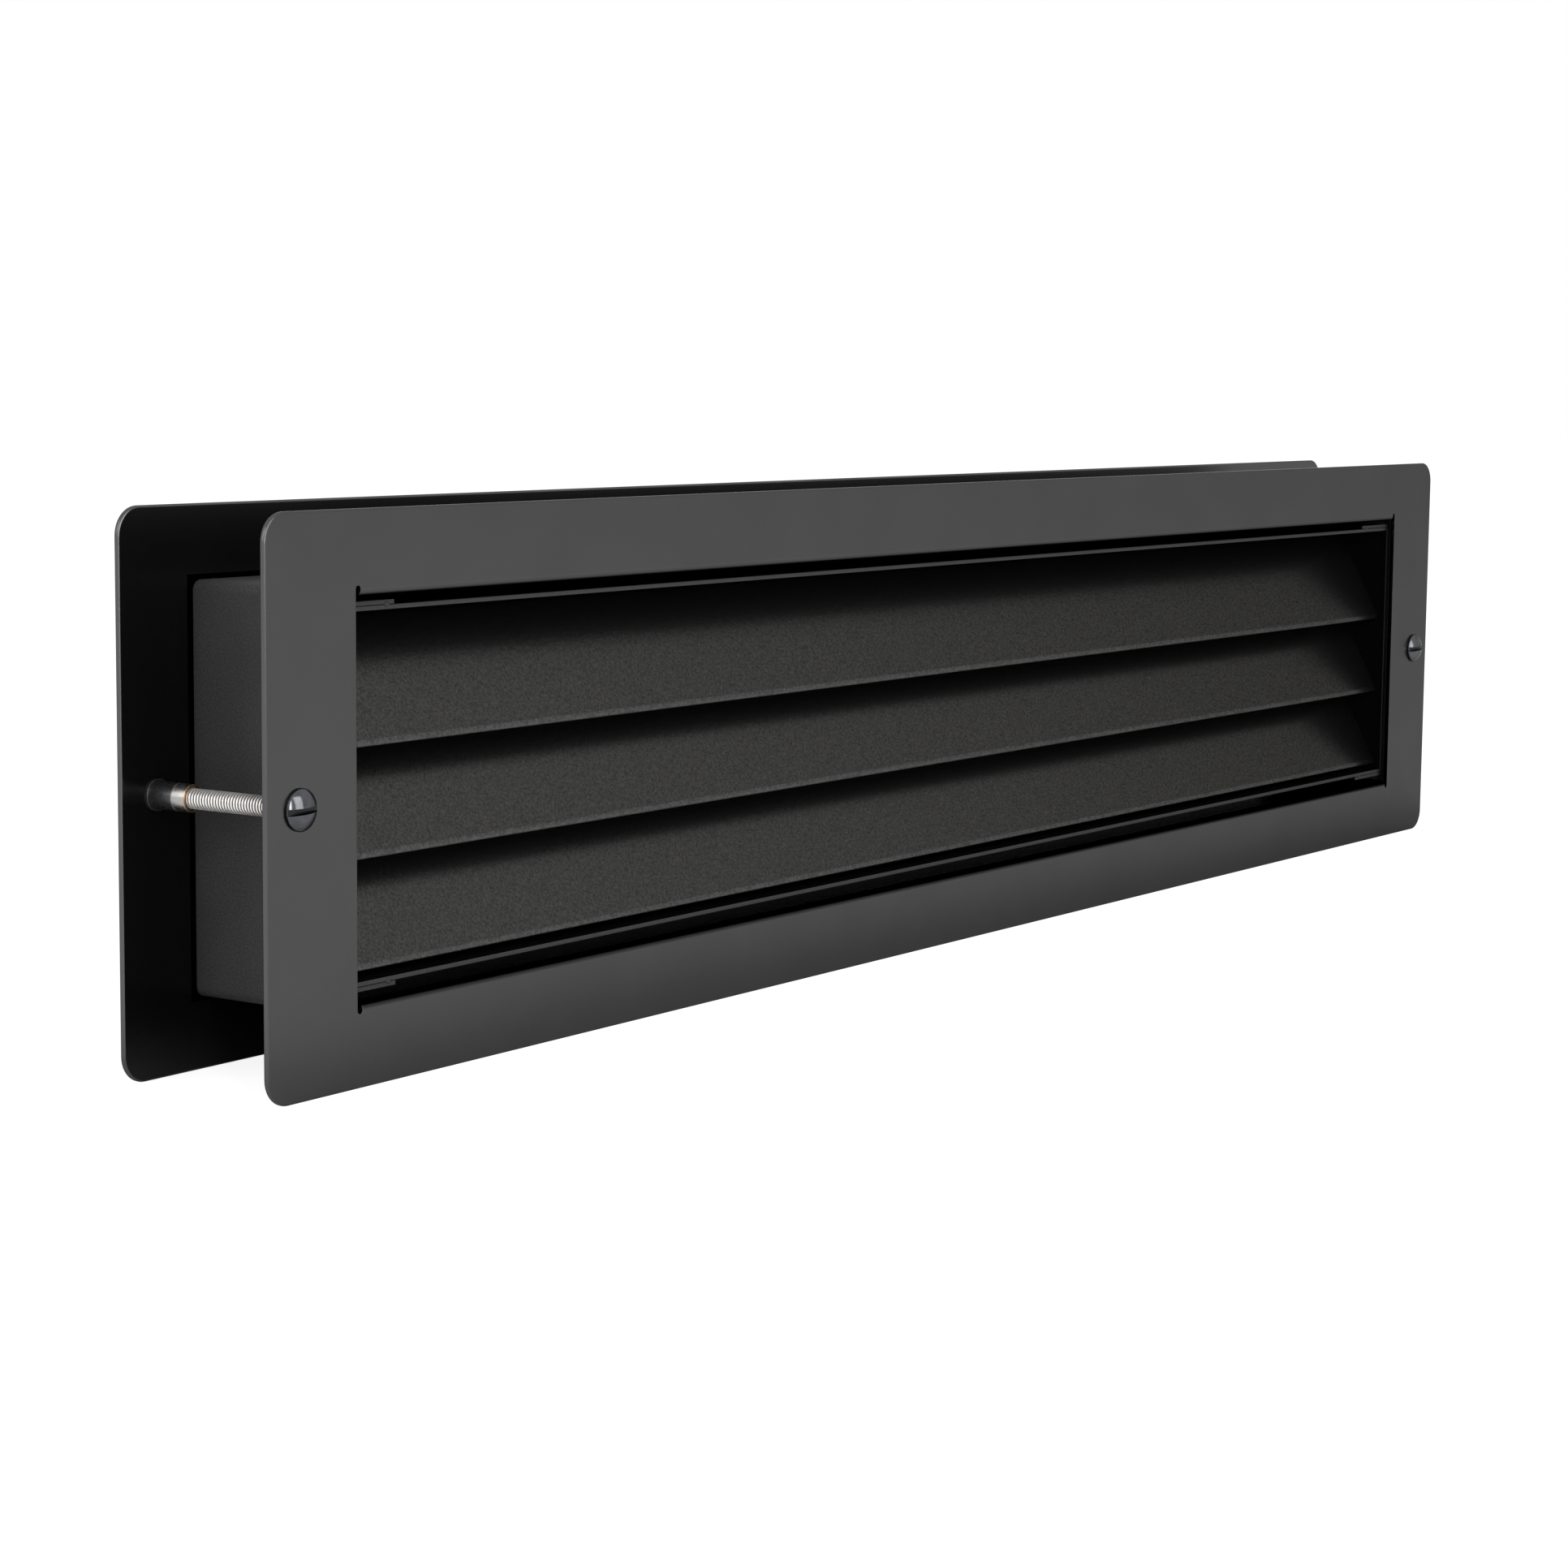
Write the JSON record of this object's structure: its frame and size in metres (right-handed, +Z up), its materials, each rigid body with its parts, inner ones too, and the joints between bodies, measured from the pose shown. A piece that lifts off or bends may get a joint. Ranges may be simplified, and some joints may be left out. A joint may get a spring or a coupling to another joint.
{
  "type": "door vent grille",
  "caption": "Door vent grille: folded cover plates clamp both faces of a door, with a sheet sleeve, chevron slats and end screws that draw the plates together.",
  "frame": {"origin": "middle of the vent: half its length, half its height, half the door's thickness", "axes": "+X along the vent, +Y from the front plate to the rear plate, +Z up"},
  "size_m": [0.5, 0.0418, 0.108],
  "materials": {
    "satin_black": "satin powder coat",
    "textured_black": "fine-textured powder coat",
    "blackened_steel": "glossy black head, bright rolled thread",
    "nut_steel": "bright nickel-plated, part coated black"
  },
  "bodies": {
    "rear_half": {"rear_plate": "satin_black", "sleeve": "textured_black", "top_rail": "textured_black", "bottom_rail": "textured_black", "left_end_wall": "textured_black", "right_end_wall": "textured_black", "slat_1": "textured_black", "slat_2": "textured_black", "slat_3": "textured_black", "left_sleeve_nut": "nut_steel", "right_sleeve_nut": "nut_steel"},
    "front_cover": {"front_plate": "satin_black"},
    "left_screw": {"left_screw": "blackened_steel"},
    "right_screw": {"right_screw": "blackened_steel"}
  },
  "joints": [
    {"name": "front_plate_slide", "type": "slide", "parent": "rear_half", "child": "front_cover", "axis": [0, -1, 0], "range_m": [-0.0016, 0.0054]},
    {"name": "left_screw_turn", "type": "hinge", "parent": "front_cover", "child": "left_screw", "pos_m": [-0.241, 0, 0], "axis": [0, -1, 0], "range_deg": [-823, 2778]},
    {"name": "right_screw_turn", "type": "hinge", "parent": "front_cover", "child": "right_screw", "pos_m": [0.241, 0, 0], "axis": [0, -1, 0], "range_deg": [-823, 2778]}
  ],
  "couplings": [
    {"joint": "left_screw_turn", "follows": "front_plate_slide", "rad_per_m": 8976},
    {"joint": "right_screw_turn", "follows": "front_plate_slide", "rad_per_m": 8976}
  ]
}
